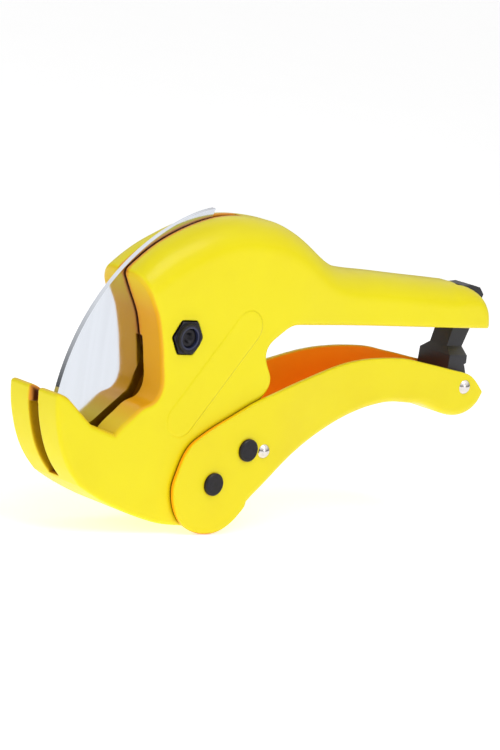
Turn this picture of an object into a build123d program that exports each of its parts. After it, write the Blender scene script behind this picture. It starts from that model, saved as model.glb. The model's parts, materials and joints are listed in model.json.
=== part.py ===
from build123d import *
import math
import os

# Ratchet pipe cutter for plastic pipe up to 42 mm outside diameter: a body with a fixed
# hook and grip, a toothed blade, a sheet handle with a drive pawl, a hold pawl and a latch.
# Frame: origin on the blade pivot axis at mid thickness, X towards the grip end,
# Y across the thickness, Z up. Millimetres, shown with the jaw shut and the handles
# latched together. Every outline table holds (x, z) points unless it says otherwise.

os.makedirs("parts", exist_ok=True)

# ------------------------------------------------------------------ driving dimensions
FIT = 0.05                    # radial clearance of running fits
END_GAP = 0.05                # side clearance at the ends of bushes and spacers

# body
HALF_T = 16.0                 # half thickness of the head
CROWN_R = 11.5                # rounding of the top and back edge
GRIP_HALF_W = 13.2
GRIP_UNDER_Z = 5.9            # underside of the grip
SLOT_HALF = 1.6               # narrow blade slot
SLOT_R = 56.0                 # slot radius about the blade pivot
POCKET_HALF = 3.1             # wide pocket for the pawls
SPRING_RECESS_Y = 7.4         # floor of the handle spring recess
HOLLOW_X = (66.0, 144.0)      # ends of the hollow under the grip
HOLLOW_HALF = 8.0
LATCH_SLOT_HALF = 5.8

# blade
BLADE_HALF = 1.2
SPINE_CENTRE = (41.7, -38.2)
SPINE_R = 92.0
BLADE_TIP = (-50.2, -43.4)    # gives the direction in which the spine arc starts
BLADE_END_R = 52.8            # far corner of the blade, from the pivot
BLADE_END_ANGLE = 71.2
TOOTH_TIP_R = 34.0
TOOTH_ROOT_R = 31.8
TOOTH_PITCH = 8.4             # degrees
TOOTH_FIRST = -33.6           # angle of the lowest steep face
TOOTH_COUNT = 12
BEVEL_WIDTH = 5.5
BEVEL_OVERRUN = 0.6           # each bevel cut runs this far past its edge segment

# blade pivot stack
PIVOT = (0.0, 0.0)
BUSH_R = 6.0
BOLT_R = 4.0                  # M8
HEX_AF = 13.0                 # across flats of the bolt head and nut
BOLT_HEAD_H = 5.3
NUT_SEAT = 9.6                # distance of the nut seat from mid thickness
NUT_FACE = 16.5               # distance of the outer end of the nut hexagon
WASHER_T = 0.32
WASHER_GAP = 0.04             # between the blade and each washer
SPRING_LEG = (11.6, 40)       # return spring leg in the blade: radius, degrees

# handle, pins and rivets
HANDLE_PIVOT = (23.0, -59.3)
PAWL_PIVOT = (38.7, -45.3)    # drive pawl pivot, carried by the handle
ANCHOR = (47.7, -45.9)        # spring anchor rivet
LATCH_PIVOT = (160.8, -19.3)
HOLD_PIVOT = (12.0, -46.0)    # hold pawl pivot, in the body
PIN_R = 3.5
PIN_HEAD_R = 4.65
PIN_TAIL = 2.4                # the pin ends stand this far out of the ears
CLIP_GROOVE_R = 2.6
HANDLE_BUSH_R = 5.0
ANCHOR_R = 1.75
LATCH_RIVET_R = 2.0
RIVET_HEAD_H = 1.7
HOLD_PIN_R = 2.5
EAR_OUT = 18.3                # outer half width of the handle ears
SHEET = 2.2                   # sheet thickness of the handle

# pawls and latch
PAWL_HALF = 2.5
DRIVE_HUB_R = 6.4
LEAF_X = (23.5, 24.1)         # the two faces of the hold pawl leaf spring, at its foot
LEAF_HALF = 2.0
LEAF_GAP = 0.1                # clearance of the leaf foot in its slit
LATCH_BASE_HALF = 9.4
LATCH_ARM_HALF = 5.2


# ------------------------------------------------------------------ helpers
def line(start, end):
    return Edge.make_line(Vector(start[0], 0, start[1]), Vector(end[0], 0, end[1]))


def curve(points):
    """Smooth curve in the XZ plane."""
    return Edge.make_spline([Vector(x, 0, z) for x, z in points])


def closed(*runs):
    """Closed face in the XZ plane from runs of points. A run is ('s', points) for a
    smooth curve or ('l', points) for straight lines. Gaps are closed by lines."""
    edges = []
    last = None
    for kind, points in runs:
        if last is not None and math.dist(last, points[0]) > 1e-6:
            edges.append(line(last, points[0]))
        if kind == "s":
            edges.append(curve(points))
        else:
            edges += [line(a, b) for a, b in zip(points, points[1:])]
        last = points[-1]
    first = runs[0][1][0]
    if math.dist(last, first) > 1e-6:
        edges.append(line(last, first))
    return Face(Wire(edges))


def poly(points):
    return closed(("l", points))


def loop_3d(corners):
    """Closed wire of straight lines through 3D corners."""
    return Wire([Edge.make_line(a, b) for a, b in zip(corners, corners[1:] + corners[:1])])


def slab(face, y0, y1):
    return Solid.extrude(face.moved(Location((0, y0, 0))), Vector(0, y1 - y0, 0))


def mid_slab(face, half):
    """Slab centred on mid thickness."""
    return slab(face, -half, half)


def across(centre, y0):
    """Plane at y0 on the axis along +Y through centre."""
    return Plane(origin=(centre[0], y0, centre[1]), z_dir=(0, 1, 0))


def cyl(centre, radius, y0, y1):
    return Solid.make_cylinder(radius, y1 - y0, across(centre, y0))


def cone(centre, radius0, radius1, y0, y1):
    return Solid.make_cone(radius0, radius1, y1 - y0, across(centre, y0))


def one(shape):
    """The largest solid of a boolean result."""
    return max(shape.solids(), key=lambda solid: solid.volume)


def bore(shape, centre, radius, y0=-30, y1=30):
    """Drill along Y, right through unless limits are given."""
    return one(shape - cyl(centre, radius, y0, y1))


def tube(centre, outer_r, inner_r, y0, y1):
    return bore(cyl(centre, outer_r, y0, y1), centre, inner_r)


def tube_pair(centre, outer_r, inner_r, near, far):
    """Two equal tubes, mirrored about mid thickness."""
    return [tube(centre, outer_r, inner_r, *span) for span in ((-far, -near), (near, far))]


def polar(radius, degrees, centre=PIVOT):
    angle = math.radians(degrees)
    return (centre[0] + radius * math.cos(angle), centre[1] + radius * math.sin(angle))


def arc_points(radius, start, end, steps, centre=PIVOT):
    return [polar(radius, start + (end - start) * i / steps, centre) for i in range(steps + 1)]


def hexagon(across_flats):
    radius = across_flats / 2 / math.cos(math.radians(30))
    return poly([polar(radius, 60 * k) for k in range(6)])


def coil(centre, radius, y0, y1, start, turns):
    """3D points on a coil about an axis along Y, twelve to a turn."""
    total = int(turns * 12)
    points = []
    for i in range(total + 1):
        x, z = polar(radius, start + 360 * turns * i / total, centre)
        points.append((x, y0 + (y1 - y0) * i / total, z))
    return points


def wire_spring(points, radius):
    """Round spring wire through a list of 3D points."""
    path = Edge.make_spline([Vector(*p) for p in points])
    disc = Plane(origin=path @ 0, z_dir=path % 0) * Circle(radius)
    return one(sweep(disc, path=path))


def sampled(points, count):
    """(x, z) samples along the smooth curve through points."""
    places = [curve(points).position_at(i / count) for i in range(count + 1)]
    return [(p.X, p.Z) for p in places]


def follows(edge, samples, fractions, tolerance):
    """Whether the edge, seen along Y, stays on the sampled curve."""
    for fraction in fractions:
        p = edge.position_at(fraction)
        if min(math.hypot(p.X - x, p.Z - z) for x, z in samples) > tolerance:
            return False
    return True


def fillet_largest(shape, edges, radii):
    """Fillet with the first radius that works, else leave the edges sharp."""
    for radius in radii:
        # the kernel can refuse a radius; the next one is then taken
        try:
            rounded = shape.fillet(radius, edges)
            if rounded.is_valid and rounded.volume > 0:
                return rounded
        except Exception:
            pass
    return shape


def save(shape, name):
    if isinstance(shape, list):
        shape = Compound(children=shape)
    shape.label = name
    export_step(shape, f"parts/{name}.step")


# ------------------------------------------------------------------ body
# silhouette, in order from the front (-X) over the top and back underneath
CROWN = [
    (-60.0, -16.0), (-50.5, -2.5), (-39.0, 11.0), (-25.9, 23.6), (-13.4, 33.9), (-3.4, 39.6),
    (6.6, 43.8), (15.6, 46.4), (24.0, 47.6), (32.0, 47.7), (40.0, 47.1), (47.0, 46.0),
    (53.0, 44.1), (60.0, 41.0), (67.5, 36.8), (75.0, 32.4), (82.0, 29.4), (90.0, 28.0),
    (103.0, 27.3), (123.0, 26.1), (143.0, 25.0), (152.0, 24.4),
]
GRIP_END = [
    (152.0, 24.4), (158.0, 23.2), (163.8, 21.0), (168.7, 17.2), (171.9, 12.0), (172.9, 7.4),
]
HEAD_REAR = [
    (60.5, GRIP_UNDER_Z), (57.0, 5.6), (53.5, 4.2), (49.5, 1.4), (45.6, -1.8), (43.9, -5.2),
    (44.4, -8.8), (46.6, -12.9), (48.2, -16.6), (47.9, -19.8), (45.6, -23.6),
]
LOW_REAR = [
    (45.6, -23.6), (41.0, -29.0), (35.5, -34.6), (31.2, -39.6), (30.6, -44.4), (33.2, -51.2),
]
BOSS = [
    (33.2, -51.2), (36.0, -58.6), (35.4, -65.4), (31.6, -72.2), (24.0, -76.8), (11.0, -77.2),
]
BOTTOM = [
    (11.0, -77.2), (1.0, -76.3), (-9.0, -74.0), (-19.0, -71.0), (-29.0, -67.2),
    (-37.0, -63.6), (-43.0, -60.4),
]
HOOK = [
    (-43.0, -60.4), (-49.0, -54.4), (-53.8, -47.5), (-57.6, -39.0), (-59.9, -31.0),
    (-60.8, -24.6),
]
# (x, y) stations of the +Y side, where the grip narrows behind the head
SIDE = [
    (45.0, HALF_T + 3.0), (58.0, HALF_T + 0.6), (70.0, 15.0), (84.0, 13.9),
    (100.0, GRIP_HALF_W), (150.0, GRIP_HALF_W), (166.0, 12.7), (176.0, 12.0),
]
MOUTH_SEAT = [(-56.4, -24.3), (-54.6, -25.2), (-41.5, -35.6), (-30.2, -39.2), (-29.0, -39.5)]
MOUTH_WALL = [
    (-29.0, -39.5), (-27.6, -37.7), (-21.6, -32.2), (-16.6, -28.2), (-12.2, -26.4),
    (-9.8, -23.4), (-9.1, -19.8), (-10.4, -12.6), (-12.1, -5.2), (-13.8, 0.4), (-16.2, 7.0),
    (-20.4, 14.2), (-25.9, 23.6),
]
MOUTH_OUTSIDE = [(-25.9, 23.6), (-31.0, 34.0), (-90.0, 34.0), (-90.0, -21.8), (-64.0, -21.8)]
SLOT_FLOOR = [
    (-80, 20), (-80, -62), (-48.0, -59.0), (-40.0, -56.5), (-30.0, -53.0), (-20.0, -49.0),
    (-8.0, -42.0),
]
POCKET = [
    (-80, -30), (-50, -30), (-30, -10), (-14, -2.0), (70, -2.0), (70, -46.6), (36.5, -46.6),
    (26.5, -47.2), (20.5, -50.6), (15.5, -53.2), (8.5, -53.0), (4.0, -49.5), (-4.0, -47.0),
    (-18.0, -50.5), (-30.0, -54.5), (-44.0, -58.6), (-80, -66),
]
HOLLOW = [
    (HOLLOW_X[0], 0.0), (HOLLOW_X[0], 20.0), (72.0, 24.0), (84.0, 22.6), (138.0, 20.8),
    (HOLLOW_X[1], 18.0), (HOLLOW_X[1], 0.0),
]
LATCH_SLOT = [
    (154.1, -5.0), (154.1, GRIP_UNDER_Z), (157.6, 19.8), (153.6, 23.8), (153.6, 40),
    (193, 40), (193, -5),
]


def side_cutter(side):
    """Block outside the plan curve, on the side of Y given by the sign."""
    edge = Edge.make_spline([Vector(x, side * y, 0) for x, y in SIDE])
    outside = [SIDE[-1], (180.0, SIDE[-1][1]), (180.0, 30), (SIDE[0][0], 30), SIDE[0]]
    corners = [Vector(x, side * y, 0) for x, y in outside]
    face = Face(Wire([edge] + [Edge.make_line(a, b) for a, b in zip(corners, corners[1:])]))
    return Solid.extrude(face.moved(Location((0, 0, -100))), Vector(0, 0, 200))


def round_crown(body):
    """Round both long edges of the crown and grip end."""
    crown = sampled(CROWN, 400) + sampled(GRIP_END, 400)

    def on_crown(edge):
        if abs(edge.position_at(0.5).Y) < 8:
            return False
        if not follows(edge, crown, (0.02, 0.25, 0.5, 0.75, 0.98), 1.2):
            return False
        return math.dist(tuple(edge.position_at(0.02)), tuple(edge.position_at(0.98))) > 2

    edges = [edge for edge in body.edges() if on_crown(edge)]
    return fillet_largest(body, edges, [CROWN_R, 11.0, 10.0, 9.0, 8.0, 6.0])


def grip_hollow():
    hollow = mid_slab(closed(("l", HOLLOW)), HOLLOW_HALF)

    def at_corner(edge):
        p = edge.position_at(0.5)
        at_end = any(abs(p.X - x) < 0.1 for x in HOLLOW_X)
        return at_end and abs(abs(p.Y) - HOLLOW_HALF) < 0.1

    return fillet_largest(hollow, [e for e in hollow.edges() if at_corner(e)], [3.0, 2.0])


def make_body():
    silhouette = closed(
        ("s", CROWN),
        ("s", GRIP_END),
        ("l", [GRIP_END[-1], (171.7, GRIP_UNDER_Z), HEAD_REAR[0]]),
        ("s", HEAD_REAR),
        ("s", LOW_REAR),
        ("s", BOSS),
        ("s", BOTTOM),
        ("s", HOOK),
        ("l", [HOOK[-1], CROWN[0]]),
    )
    body = mid_slab(silhouette, HALF_T)
    for side in (1, -1):
        body = one(body - side_cutter(side))
    body = round_crown(body)

    # jaw mouth: hook inner edge, V-shaped seat and curved rear wall
    mouth = closed(("l", MOUTH_SEAT), ("s", MOUTH_WALL), ("l", MOUTH_OUTSIDE))
    body = one(body - mid_slab(mouth, 40))

    # blade slot through the head and the front of the hook
    slot = poly(arc_points(SLOT_R, -24, 150, 60) + SLOT_FLOOR
                + arc_points(TOOTH_TIP_R + 2.5, -100, -24, 12))
    body = one(body - mid_slab(slot, SLOT_HALF))

    # pawl pocket low in the head, open at the back, sparing a boss around the blade pivot
    pocket = mid_slab(poly(POCKET), POCKET_HALF) - cyl(PIVOT, 11.0, -5, 5)
    for piece in pocket.solids():
        body = one(body - piece)

    # stepped recess on the +Y side of the slot for the blade return spring
    body = bore(body, PIVOT, 12.8, SLOT_HALF - 0.2, 4.2)
    body = bore(body, PIVOT, 8.9, 3.0, 7.9)
    body = bore(body, PIVOT, BOLT_R + FIT)
    # hexagon pocket for the lock nut in the -Y cheek
    body = one(body - slab(hexagon(HEX_AF + 0.5), -20.0, -NUT_SEAT))
    body = bore(body, HANDLE_PIVOT, HANDLE_BUSH_R + FIT)
    # blind hole for the hold pawl pin, from the +Y side
    body = bore(body, HOLD_PIVOT, HOLD_PIN_R + FIT, -11.0)

    # recess for the handle spring on the +Y side, with a fan towards the pawl pin
    body = bore(body, HANDLE_PIVOT, 9.8, SPRING_RECESS_Y)
    fan = poly([HANDLE_PIVOT] + arc_points(22.0, -4, 84, 10, HANDLE_PIVOT))
    body = one(body - slab(fan, SPRING_RECESS_Y, 20))

    body = one(body - grip_hollow())
    # latch slot, open at the grip end, with a sloping seat for the latch hook
    body = one(body - mid_slab(poly(LATCH_SLOT), LATCH_SLOT_HALF))

    # slit for the foot of the hold pawl spring
    front, rear = LEAF_X[0] - LEAF_GAP, LEAF_X[1] + LEAF_GAP
    slit = poly([(front, -44.0), (rear, -44.0), (rear, -52.6), (front, -52.6)])
    return one(body - mid_slab(slit, LEAF_HALF + LEAF_GAP))


# ------------------------------------------------------------------ blade
# (radius, degrees) below the teeth
HUB = [(16.5, -42), (14.6, -50), (13.2, -62), (12.6, -78), (12.6, -94)]
TOOTH_RUNOUT_R = 19.0         # the lowest steep face runs in to this radius
CUTTING_EDGE = [
    (-4.4, -12.4), (-8.0, -20.6), (-10.6, -27.6), (-15.0, -31.6), (-20.4, -36.0),
    (-27.0, -41.6), (-33.5, -44.8), (-41.5, -45.9), (-47.5, -45.4),
]


def spine_angle(point):
    dx, dz = point[0] - SPINE_CENTRE[0], point[1] - SPINE_CENTRE[1]
    return math.degrees(math.atan2(dz, dx)) % 360


def bevel_wedge(start, end, side):
    """Wedge that grinds one segment of the cutting edge on one side."""
    start, end = Vector(start[0], 0, start[1]), Vector(end[0], 0, end[1])
    length = (end - start).length
    along = (end - start) * (1 / length)
    inward = Vector(-along.Z, 0, along.X)
    if inward.dot(Vector(-30, 0, 0) - (start + end) * 0.5) < 0:
        inward = inward * -1
    origin = start - along * BEVEL_OVERRUN
    # (y, distance inward) corners of the wedge section
    section = [(0.12, -0.4), (BLADE_HALF + 0.02, BEVEL_WIDTH), (3, BEVEL_WIDTH), (3, -2),
               (0.12, -2)]
    corners = [origin + Vector(0, side * y, 0) + inward * depth for y, depth in section]
    return Solid.extrude(Face(loop_3d(corners)), along * (length + 2 * BEVEL_OVERRUN))


def make_blade():
    end_corner = polar(BLADE_END_R, BLADE_END_ANGLE)
    spine = arc_points(SPINE_R, spine_angle(BLADE_TIP), spine_angle(end_corner), 12,
                       SPINE_CENTRE)
    spine[-1] = end_corner
    teeth = [
        polar(TOOTH_ROOT_R, BLADE_END_ANGLE),
        polar(TOOTH_ROOT_R, TOOTH_FIRST + TOOTH_PITCH * TOOTH_COUNT),
    ]
    for k in reversed(range(TOOTH_COUNT)):
        angle = TOOTH_FIRST + TOOTH_PITCH * k
        teeth.append(polar(TOOTH_TIP_R, angle))
        teeth.append(polar(TOOTH_ROOT_R if k else TOOTH_RUNOUT_R, angle))
    hub = [polar(radius, angle) for radius, angle in HUB]
    blade = mid_slab(closed(("s", spine), ("l", teeth + hub), ("l", CUTTING_EDGE)), BLADE_HALF)
    for side in (1, -1):
        for start, end in zip(CUTTING_EDGE, CUTTING_EDGE[1:]):
            blade = one(blade - bevel_wedge(start, end, side))
    blade = bore(blade, PIVOT, BUSH_R + FIT)
    return bore(blade, polar(*SPRING_LEG), 0.8)


# ------------------------------------------------------------------ blade pivot stack
def make_thrust_washers():
    inner_face = BLADE_HALF + WASHER_GAP
    return tube_pair(PIVOT, 10.4, BUSH_R + 0.1, inner_face, inner_face + WASHER_T)


def make_pivot_bolt():
    head_top = HALF_T + BOLT_HEAD_H
    head = slab(hexagon(HEX_AF), HALF_T, head_top) & cone(PIVOT, 9.6, 6.4, HALF_T - 1, head_top)
    end = -NUT_FACE + 0.1
    bolt = cyl(PIVOT, BOLT_R, end, HALF_T + 0.5) + one(head)
    # conical dimple in the threaded end
    bolt = one(bolt - cone(PIVOT, 2.4, 1.2, end - 0.1, end + 1.4))
    rim = [e for e in bolt.edges() if abs(e.position_at(0.5).Y - end) < 0.05 and e.length > 20]
    return fillet_largest(bolt, rim, [0.8, 0.5])


def make_lock_nut():
    chamfer_y = -NUT_FACE + 1.4
    hexa = hexagon(HEX_AF)
    chamfered = slab(hexa, -NUT_FACE, chamfer_y) & cone(PIVOT, 6.7, 9.2, -NUT_FACE, chamfer_y)
    nut = slab(hexa, chamfer_y, -NUT_SEAT) + one(chamfered)
    collar = cone(PIVOT, 5.7, 6.0, -NUT_FACE - 1.2, -NUT_FACE + 0.2)
    nut = bore(one(one(nut) + collar), PIVOT, BOLT_R + FIT)
    # groove for the nylon ring, then the opening through the collar lip
    nut = bore(nut, PIVOT, 5.15, -NUT_FACE - 1.0, -NUT_FACE + 1.2)
    return bore(nut, PIVOT, 4.8, -22, -NUT_FACE - 0.6)


def make_blade_return_spring():
    """Coil on the bush with one leg hooked into the blade."""
    start, turns = -300, 2.75
    leave_x, leave_z = polar(9.2, start + 360 * turns + 34)
    leg_x, leg_z = polar(*SPRING_LEG)
    points = coil(PIVOT, 7.35, 6.4, 2.6, start, turns) + [
        (leave_x, 2.5, leave_z),
        (leg_x - 0.25, 2.35, leg_z - 0.25),
        (leg_x, 1.2, leg_z),
        (leg_x, -0.3, leg_z),
    ]
    return wire_spring(points, 0.5)


# ------------------------------------------------------------------ lower handle
# (x, outer half width) stations; ahead of the first the width is constant
HANDLE_WIDTHS = [
    (50, EAR_OUT), (58, 17.9), (68, 16.9), (78, 15.9), (90, 14.9), (105, 14.2), (125, 13.8),
    (150, 13.6), (180, 13.4),
]
EAR_TOP = [
    (3.9, -55.6), (6.9, -46.8), (9.0, -43.7), (14.0, -39.8), (19.0, -36.7), (29.0, -31.5),
    (39.0, -26.3), (49.0, -22.2), (59.1, -18.5), (70.2, -15.0), (80.8, -11.8), (91.2, -9.3),
    (101.5, -7.9), (111.8, -7.35), (121.9, -7.4), (127.1, -7.85), (132.2, -8.7),
    (142.4, -10.3), (152.4, -12.0), (158.4, -12.9),
]
TAIL = [(158.4, -12.9), (162.9, -14.0), (166.8, -16.3), (170.3, -19.4), (173.4, -22.4)]
TAIL_LOW = [
    (173.4, -22.6), (171.8, -25.8), (169.0, -28.8), (164.6, -31.2), (158.8, -32.2),
    (152.5, -31.5), (147.4, -30.1), (142.4, -28.4), (137.3, -27.2), (132.2, -26.9),
    (121.9, -26.4), (116.9, -26.7), (111.8, -27.5), (101.7, -30.0), (91.6, -33.7),
    (81.2, -38.6), (70.6, -44.7), (60.1, -52.5), (51.6, -60.2), (46.0, -65.3),
]
EAR_LOW = [
    (43.8, -66.7), (41.2, -70.2), (37.2, -74.6), (32.2, -78.1), (26.4, -80.0), (20.9, -80.1),
    (14.2, -78.3), (9.4, -75.2), (5.8, -70.6), (3.3, -63.8), (3.0, -59.6), (3.9, -55.6),
]
# channel between the side walls, round from the front end of the web to its rear end
CHANNEL = [
    (41.6, -67.8), (41.6, -100.0), (-40.0, -100.0), (-40.0, 40.0), (200.0, 40.0),
    (200.0, -25.0), (174.0, -22.0),
]


def handle_half_width(x):
    for (x0, width0), (x1, width1) in zip(HANDLE_WIDTHS, HANDLE_WIDTHS[1:]):
        if x <= x1:
            return width0 + (width1 - width0) * (x - x0) / (x1 - x0)


def plan_solid(inset):
    """Tall block with the plan shape of the handle, drawn in by inset."""
    def plan_curve(side):
        return Edge.make_spline(
            [Vector(x, side * (width - inset), 0) for x, width in HANDLE_WIDTHS],
            tangents=[Vector(1, 0, 0), Vector(1, side * -0.004, 0)])

    first_x, first_w = HANDLE_WIDTHS[0][0], HANDLE_WIDTHS[0][1] - inset
    last_x, last_w = HANDLE_WIDTHS[-1][0], HANDLE_WIDTHS[-1][1] - inset
    front = [Vector(first_x, -first_w, 0), Vector(-20, -first_w, 0), Vector(-20, first_w, 0),
             Vector(first_x, first_w, 0)]
    rear = Edge.make_line(Vector(last_x, last_w, 0), Vector(last_x, -last_w, 0))
    face = Face(Wire([plan_curve(1), rear, plan_curve(-1)]
                     + [Edge.make_line(a, b) for a, b in zip(front, front[1:])]))
    return Solid.extrude(face.moved(Location((0, 0, -120))), Vector(0, 0, 160))


def offset_up(points, distance):
    """Points moved square to the line they form, upwards for one that runs towards -X."""
    moved = []
    for i, (x, z) in enumerate(points):
        before = points[max(0, i - 1)]
        after = points[min(len(points) - 1, i + 1)]
        dx, dz = after[0] - before[0], after[1] - before[1]
        length = math.hypot(dx, dz)
        moved.append((x + dz / length * distance, z - dx / length * distance))
    return moved


def make_lower_handle():
    plate = closed(("s", EAR_TOP), ("s", TAIL), ("s", TAIL_LOW),
                   ("l", [TAIL_LOW[-1], EAR_LOW[0]]), ("s", EAR_LOW))
    outer = one(mid_slab(plate, 30) & plan_solid(0.0))

    # the outer bends where the web turns up into the side walls
    web = sampled(TAIL_LOW, 300)
    fractions = (0.03, 0.3, 0.6, 0.97)

    def on_web(edge):
        if any(abs(edge.position_at(t).Y) < 9 for t in fractions):
            return False
        return follows(edge, web, fractions, 0.6) and edge.length > 20

    outer = fillet_largest(outer, [e for e in outer.edges() if on_web(e)], [3.0, 2.5, 2.0])

    web_top = offset_up(TAIL_LOW[1:], SHEET)
    channel = closed(("s", web_top), ("l", [web_top[-1]] + CHANNEL + [web_top[0]]))
    handle = one(outer - one(mid_slab(channel, 30) & plan_solid(SHEET)))
    for centre, radius in ((HANDLE_PIVOT, PIN_R), (PAWL_PIVOT, PIN_R), (ANCHOR, ANCHOR_R),
                           (LATCH_PIVOT, LATCH_RIVET_R)):
        handle = bore(handle, centre, radius + FIT)
    return handle


# ------------------------------------------------------------------ pins, clips, rivets
def headed_pin(centre):
    """Pin with its head on the -Y side and a clip groove on the +Y side."""
    end = EAR_OUT + PIN_TAIL
    rim_y = -EAR_OUT - 1.0
    shaft = cyl(centre, PIN_R, -EAR_OUT - 0.3, end)
    head = cyl(centre, PIN_HEAD_R, rim_y, -EAR_OUT) + cone(
        centre, PIN_HEAD_R - 0.5, PIN_HEAD_R, rim_y - 0.5, rim_y)
    groove = tube(centre, PIN_R + 1, CLIP_GROOVE_R, EAR_OUT + 0.15, EAR_OUT + 1.15)
    pin = one(one(shaft + head) - groove)
    rim = [e for e in pin.edges() if abs(e.position_at(0.5).Y - end) < 0.02]
    return fillet_largest(pin, rim, [0.5])


def retaining_clip(centre, turn):
    """Clip ring with its mouth facing the angle turn."""
    clip = tube(centre, 6.2, CLIP_GROOVE_R + FIT, EAR_OUT + 0.2, EAR_OUT + 1.1)
    wedge = [(0.1, 0), (9, -24), (12, 0), (9, 24)]     # radius, degrees from the mouth
    mouth = poly([polar(radius, turn + angle, centre) for radius, angle in wedge])
    clip = one(clip - slab(mouth, EAR_OUT - 1, EAR_OUT + 3))
    for angle in (75, -75):
        clip = bore(clip, polar(5.2, turn + 180 + angle, centre), 1.3)
    return clip


def rivet(centre, radius, head_r, half_width):
    """Rivet with a domed head at each end."""
    body = cyl(centre, radius, -half_width - 0.2, half_width + 0.2)
    dome_r = (head_r**2 + RIVET_HEAD_H**2) / (2 * RIVET_HEAD_H)
    top = half_width + RIVET_HEAD_H
    for side in (1, -1):
        middle = (centre[0], side * (top - dome_r), centre[1])
        ball = Solid.make_sphere(dome_r, Plane(middle), -90, 90, 360)
        keep = cyl(centre, head_r + 1, *sorted((side * half_width, side * (top + 1))))
        body = body + one(ball & keep)
    return one(body)


# ------------------------------------------------------------------ drive pawl and springs
DRIVE_NOSE = polar(TOOTH_TIP_R + 0.3, -17.6)
DRIVE_LENGTH = math.dist(PAWL_PIVOT, DRIVE_NOSE)
# (along, left) in the pawl's own directions, see on_pawl
DRIVE_PAWL = [
    (0, DRIVE_HUB_R), (14, 3.4), (26, 0.4), (DRIVE_LENGTH - 6.2, -2.5), (DRIVE_LENGTH, 0.0),
    (DRIVE_LENGTH + 0.2, -1.2), (DRIVE_LENGTH - 1.8, -6.2), (22, -5.4), (10, -6.0),
    (0, -DRIVE_HUB_R),
]
DRIVE_LEAF = [
    (-2.1, -6.65), (8.0, -6.9), (15.5, -6.02), (17.8, -6.85), (17.4, -7.4), (15.5, -6.7),
    (8.0, -7.5), (-2.1, -7.3),
]


def on_pawl(along, left):
    """Point from the pawl pivot: along towards the nose, left of that line with X to the
    right and Z up."""
    ux = (DRIVE_NOSE[0] - PAWL_PIVOT[0]) / DRIVE_LENGTH
    uz = (DRIVE_NOSE[1] - PAWL_PIVOT[1]) / DRIVE_LENGTH
    return (PAWL_PIVOT[0] + ux * along - uz * left, PAWL_PIVOT[1] + uz * along + ux * left)


def make_drive_pawl():
    outline = poly([on_pawl(*p) for p in DRIVE_PAWL])
    hub = cyl(PAWL_PIVOT, DRIVE_HUB_R, -PAWL_HALF, PAWL_HALF)
    return bore(one(mid_slab(outline, PAWL_HALF) + hub), PAWL_PIVOT, PIN_R + FIT)


def make_drive_pawl_spring():
    """Bent leaf: its eye on the anchor rivet, its free end behind the pawl."""
    leaf = mid_slab(poly([on_pawl(*p) for p in DRIVE_LEAF]), 2.2)
    return bore(one(leaf + cyl(ANCHOR, 2.35, -2.2, 2.2)), ANCHOR, ANCHOR_R + FIT)


def make_handle_spring():
    """Coil around the +Y handle bush, one leg against the pawl spacer."""
    leg = [(-8.6, 0.6), (-3.2, 4.6), (0.4, 7.3)]       # x, z from the pawl pivot
    points = coil(HANDLE_PIVOT, 7.6, 8.5, 12.4, 250, 2.0 + 118 / 360)
    points += [(PAWL_PIVOT[0] + x, 12.6, PAWL_PIVOT[1] + z) for x, z in leg]
    return wire_spring(points, 0.65)


# ------------------------------------------------------------------ hold pawl
HOLD_ANGLE = -51.3            # direction of the nose from the blade pivot


def make_hold_pawl():
    nose_x, nose_z = polar(TOOTH_TIP_R + 0.35, HOLD_ANGLE)
    back_x, back_z = polar(4.6, HOLD_ANGLE)
    outline = poly([
        (nose_x, nose_z),
        (nose_x - 0.457 * 9.0, nose_z - 0.89 * 9.0),
        (9.4, -41.2),
        (8.0, -48.0),
        (16.9, -46.0),
        (nose_x + back_x - 0.3, nose_z + back_z - 0.6),
    ])
    hub = cyl(HOLD_PIVOT, 5.0, -PAWL_HALF, PAWL_HALF)
    return bore(one(mid_slab(outline, PAWL_HALF) + hub), HOLD_PIVOT, HOLD_PIN_R + FIT)


def make_hold_pawl_spring():
    """Leaf that presses the hold pawl towards the teeth."""
    front, rear = LEAF_X
    leaf = closed(
        ("l", [(front, -52.5), (front, -46.5)]),
        ("s", [(front, -46.5), (23.6, -43.0), (23.4, -39.6), (22.55, -36.8)]),
        ("l", [(22.55, -36.8), (23.05, -36.5)]),
        ("s", [(23.05, -36.5), (23.95, -39.4), (24.2, -43.0), (rear, -46.5)]),
        ("l", [(rear, -46.5), (rear, -52.5)]),
    )
    return mid_slab(leaf, LEAF_HALF)


# ------------------------------------------------------------------ latch
LATCH_ARM = [
    (154.4, -3.2), (156.3, 4.5), (158.2, 10.6), (160.2, 16.4), (161.7, 21.0), (158.5, 23.0),
    (163.6, 23.6), (168.6, 22.6), (171.3, 19.6), (169.2, 14.0), (166.3, 4.5), (163.4, -3.2),
]
LATCH_BASE = (
    [(153.1, -6.4), (152.9, -21.5), (155.4, -24.4), (160.8, -24.3)]
    + arc_points(5.0, -80, 40, 8, LATCH_PIVOT)
    + [(163.7, -13.2), (162.8, -11.1), (162.3, -10.3), (163.5, -9.6), (163.3, -6.4)]
)


def level_rectangle(z, x0, x1, half):
    return loop_3d([Vector(x0, -half, z), Vector(x1, -half, z), Vector(x1, half, z),
                    Vector(x0, half, z)])


def make_latch():
    arm = mid_slab(poly(LATCH_ARM), LATCH_ARM_HALF)
    shoulder = Solid.make_loft([
        level_rectangle(-6.4, 153.1, 163.3, LATCH_BASE_HALF),
        level_rectangle(-3.2, 154.4, 163.4, LATCH_ARM_HALF),
    ], True)
    base = mid_slab(poly(LATCH_BASE), LATCH_BASE_HALF)
    hub = cyl(LATCH_PIVOT, 4.2, -11.0, 11.0)
    latch = one(one(one(arm + shoulder) + base) + hub)
    return bore(latch, LATCH_PIVOT, LATCH_RIVET_R + FIT)


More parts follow.
